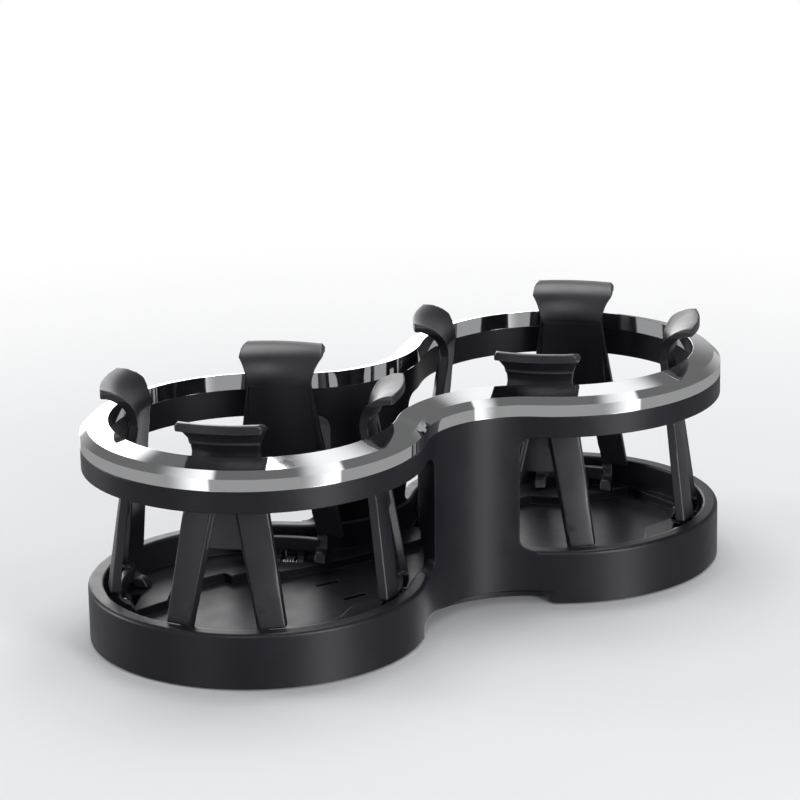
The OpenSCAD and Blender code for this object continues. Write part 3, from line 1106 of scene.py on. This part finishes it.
@dataclass
class LightTent:
    """A dome round the set that only shiny surfaces see.

    Attributes:
        radius: Radius, metres.
        fineness: Subdivisions of the dome.
        upper: Brightness of the roof.
        horizon: Brightness of the roof's foot.
        lower: Brightness of the lower half.
        roof_foot: Sine of the elevation where the roof's foot has faded.
        seam: Sine of the depth over which the lower half ends.
        bands: White bands on it.
    """

    radius: float = 2.5
    fineness: int = 5
    upper: float = 0.15
    horizon: float = 0.55
    lower: float = 0.33
    roof_foot: float = 0.42
    seam: float = -0.04
    bands: Sequence[TentBand] = (
        # The two sides of the set, with one hard edge each.
        TentBand((200.0, -40.0), (154.0, 64.0), 14.0, (2.0, 24.0, 3.0), 1.0),
        TentBand((274.0, -40.0), (303.0, 67.0), 14.0, (2.0, 24.0, 3.0), 1.0),
        # Behind the holder, for the top of the trim and the floors of the cups.
        TentBand((67.0, -14.0), (66.0, 38.0), 17.0, (6.0, 4.0, 9.0), 3.0),
        TentBand((34.0, 42.0), (51.0, 46.0), 8.0, (9.0, 3.0, 5.0), 0.9),
        # Low ones, for the sheen on the pillars, the base and the ring.
        TentBand((277.0, -11.0), (277.0, 20.0), 13.0, (8.0, 8.0, 4.0), 6.0),
        TentBand((284.0, -60.0), (284.0, -23.0), 12.0, (8.0, 8.0, 3.0), 4.5),
        TentBand((30.0, -60.0), (30.0, -23.0), 13.0, (8.0, 8.0, 3.0), 4.0),
        TentBand((118.0, -11.0), (118.0, 20.0), 12.0, (8.0, 8.0, 4.0), 3.0),
        # In front and overhead, for the fingers.
        TentBand((225.0, 18.0), (225.0, 52.0), 24.0, (14.0, 14.0, 8.0), 3.2),
        TentBand((48.0, 57.0), (232.0, 86.0), 20.0, (10.0, 10.0, 4.0), 3.6),
    )

    def build(self) -> None:
        """Makes the tent."""
        bm = bmesh.new()
        bmesh.ops.create_icosphere(bm, subdivisions=self.fineness, radius=self.radius)
        made = staged("light_tent", bm)
        for ray in ("camera", "diffuse", "transmission", "volume_scatter", "shadow"):
            setattr(made, f"visible_{ray}", False)
        made.data.materials.append(self._shading())

    def _shading(self) -> bpy.types.Material:
        """Brightness by direction: two halves and the white bands.

        Returns:
            The tent's material.
        """
        graph = NodeGraph("light_tent")
        toward = graph.math("NORMALIZE", graph.position)
        height = graph.math("DOT_PRODUCT", toward, tuple(UP))
        foot = graph.ramp(height, 0.0, self.roof_foot, self.horizon - self.upper, 0.0)
        above = graph.ramp(height, self.seam, 0.0, 0.0, 1.0)
        halves = graph.ramp(height, self.seam, 0.0, self.lower, self.upper)
        level = graph.math("ADD", graph.math("MULTIPLY", foot, above), halves)
        for band in self.bands:
            level = graph.math("ADD", level, self._band(graph, toward, band))
        glow = graph.tree.nodes.new("ShaderNodeEmission")
        graph.link(level, glow.inputs["Strength"])
        graph.surface(glow.outputs[0])
        graph.material.cycles.emission_sampling = "NONE"
        return graph.material

    @staticmethod
    def _band(graph: NodeGraph, toward: Socket, band: TentBand) -> Socket:
        """Brightness of one band.

        Args:
            graph: The material's graph.
            toward: Direction from the middle of the tent.
            band: The band.

        Returns:
            The brightness.
        """
        first, last = direction(*band.start), direction(*band.end)
        across = first.cross(last).normalized()
        middle = (first + last).normalized()
        reach = math.degrees(middle.angle(last))
        off = graph.math("DOT_PRODUCT", toward, tuple(across))
        left, right, tip = band.soft
        half = band.half_width
        rise = [math.sin(math.radians(value)) for value in (-half, left - half)]
        fall = [math.sin(math.radians(value)) for value in (half - right, half)]
        ends = [math.cos(math.radians(value)) for value in (reach + tip / 2, reach - tip / 2)]
        rising = graph.ramp(off, *rise, 0.0, band.level)
        falling = graph.ramp(off, *fall, 1.0, 0.0)
        level = graph.math("MULTIPLY", rising, falling)
        nearness = graph.math("DOT_PRODUCT", toward, tuple(middle))
        return graph.math("MULTIPLY", level, graph.ramp(nearness, *ends, 0.0, 1.0))


@dataclass
class Studio:
    """Floor, light and world.

    Attributes:
        lights: The soft lights.
        tent: What shiny surfaces reflect.
        floor_size: Half the width of the floor, metres.
        floor_colour: Colour of the floor.
        floor_rough: Roughness of the floor.
        pale: Distances, metres, over which the floor turns white for the camera.
        world_colour: Colour of the surroundings.
        world_strength: Brightness of the surroundings.
    """

    lights: Sequence[Softbox] = (
        Softbox("overhead", 50.0, 70.0, 1.1, (0.7, 0.7), 6.0),
        Softbox("side_left", 135.0, 12.0, 1.1, (0.35, 0.4), 4.0),
        Softbox("side_right", 272.0, 12.0, 1.0, (0.3, 0.35), 4.5),
    )
    tent: LightTent = field(default_factory=LightTent)
    floor_size: float = 6.0
    floor_colour: Point = (0.80, 0.805, 0.81)
    floor_rough: float = 0.9
    pale: Pair = (0.16, 0.5)
    world_colour: Point = (0.97, 0.98, 1.0)
    world_strength: float = 0.5

    def build(self) -> None:
        """Makes the floor, the world, the tent and the lights."""
        self._floor()
        self._world()
        self.tent.build()
        for light in self.lights:
            light.build()

    def _floor(self) -> None:
        """A plain pale floor that fades to white away from the holder."""
        bm = bmesh.new()
        bmesh.ops.create_grid(bm, x_segments=1, y_segments=1, size=self.floor_size)
        made = staged("studio_floor", bm)
        graph = NodeGraph("studio_floor")
        inputs = graph.shader.inputs
        inputs["Base Color"].default_value = (*self.floor_colour, 1.0)
        inputs["Roughness"].default_value = self.floor_rough
        inputs["Specular IOR Level"].default_value = 0.0
        away = graph.ramp(graph.math("LENGTH", graph.position), *self.pale, 0.0, 1.0)
        path = graph.tree.nodes.new("ShaderNodeLightPath")
        factor = graph.math("MULTIPLY", away, path.outputs["Is Camera Ray"])
        white = graph.tree.nodes.new("ShaderNodeEmission")
        mix = graph.tree.nodes.new("ShaderNodeMixShader")
        for index, source in enumerate((factor, graph.shader.outputs[0], white.outputs[0])):
            graph.link(source, mix.inputs[index])
        graph.surface(mix.outputs[0])
        made.data.materials.append(graph.material)
        made.visible_glossy = False

    def _world(self) -> None:
        """Even surroundings, which the camera sees as white."""
        world = bpy.data.worlds.new("studio_world")
        world.use_nodes = True
        tree = world.node_tree
        shade = tree.nodes["Background"]
        shade.inputs["Color"].default_value = (*self.world_colour, 1.0)
        path = tree.nodes.new("ShaderNodeLightPath")
        mix = tree.nodes.new("ShaderNodeMix")
        mix.inputs[2].default_value = self.world_strength
        mix.inputs[3].default_value = 1.0
        tree.links.new(path.outputs["Is Camera Ray"], mix.inputs[0])
        tree.links.new(mix.outputs[0], shade.inputs["Strength"])
        world.cycles.sampling_method = "NONE"
        bpy.context.scene.world = world


class HolderModel:
    """The whole cup holder."""

    def __init__(self) -> None:
        """Sets up the shared plan and workshop."""
        self.shop = Workshop(MaterialLibrary())
        self.plan = PlanShape()

    def build(self) -> None:
        """Builds every piece in order and paints the pins, which stay nodes."""
        parts = (
            TrimRing(self.plan), MouldedPieces(), HingeSprings(), CoverScrews(self.plan),
            GripPads(self.plan),
        )
        for part in parts:
            part.build(self.shop)
        for node in self.shop.nodes:
            if "_pin_" in node:
                self.shop.paint(node)


def main() -> None:
    """Builds the whole scene."""
    logging.basicConfig(level=logging.INFO)
    bpy.context.scene.view_settings.view_transform = "Standard"
    CameraRig().build()
    HolderModel().build()
    Studio().build()


if __name__ == "__main__":
    main()
